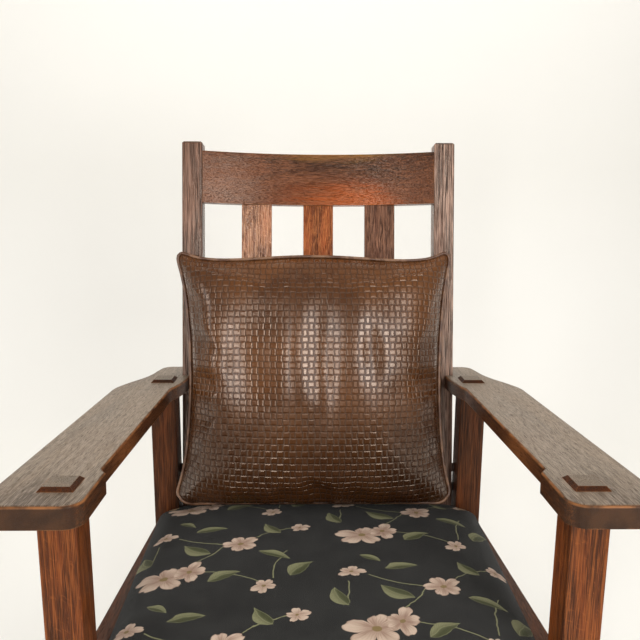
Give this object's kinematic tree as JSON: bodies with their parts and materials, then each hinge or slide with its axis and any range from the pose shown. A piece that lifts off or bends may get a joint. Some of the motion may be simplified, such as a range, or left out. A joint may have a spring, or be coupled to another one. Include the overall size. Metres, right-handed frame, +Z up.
{
  "type": "rocking chair",
  "caption": "Wooden armchair on curved rockers with a slatted back, flat arms, a padded seat and a loose back pillow.",
  "frame": {"origin": "middle of the chair's box in plan, at floor height", "axes": "+Z up, -Y the way the sitter faces, +X to the sitter's left"},
  "size_m": [0.6868, 0.8383, 0.8972],
  "materials": {
    "oak": "dark fumed oak, waxed, worn golden on the arrises",
    "inner_wood": "plain unfinished hardwood",
    "steel": "plain steel screws",
    "fibre": "dark fibre rings",
    "seat_cloth": "charcoal cotton with small cream flowers",
    "padding": "cotton and hair padding",
    "jute": "woven jute",
    "dust_cloth": "thin black cotton",
    "leather": "brown leather pressed with a basket weave, glossy",
    "zip": "brown coil zip"
  },
  "bodies": {
    "chair": {"arm_left": "oak", "arm_right": "oak", "back_lower_rail": "oak", "back_post_left": "oak", "back_post_right": "oak", "back_screw_plugs": "oak", "back_screws": "steel", "back_slat_centre": "oak", "back_slat_left": "oak", "back_slat_right": "oak", "back_spacers": "fibre", "corner_block_screws": "steel", "corner_blocks": "inner_wood", "crest_rail": "oak", "front_leg_left": "oak", "front_leg_right": "oak", "front_stretcher": "oak", "rear_leg_left": "oak", "rear_leg_right": "oak", "rear_stretcher": "oak", "runner_left": "oak", "runner_right": "oak", "runner_screws": "steel", "seat_board_front": "inner_wood", "seat_board_left": "inner_wood", "seat_board_rear": "inner_wood", "seat_board_right": "inner_wood", "seat_cover": "seat_cloth", "seat_dust_cloth": "dust_cloth", "seat_hessian": "jute", "seat_padding": "padding", "seat_rail_front": "oak", "seat_rail_left": "oak", "seat_rail_rear": "oak", "seat_rail_right": "oak", "seat_screws": "steel", "seat_webbing": "jute"},
    "pillow": {"pillow_back_panel": "leather", "pillow_filling": "padding", "pillow_front_panel": "leather", "pillow_piping": "leather", "pillow_zip": "zip"}
  },
  "joints": [
    {"name": "pillow_lift", "type": "slide", "parent": "chair", "child": "pillow", "axis": [0, 0, 1], "range_m": [0, 0.45]}
  ]
}
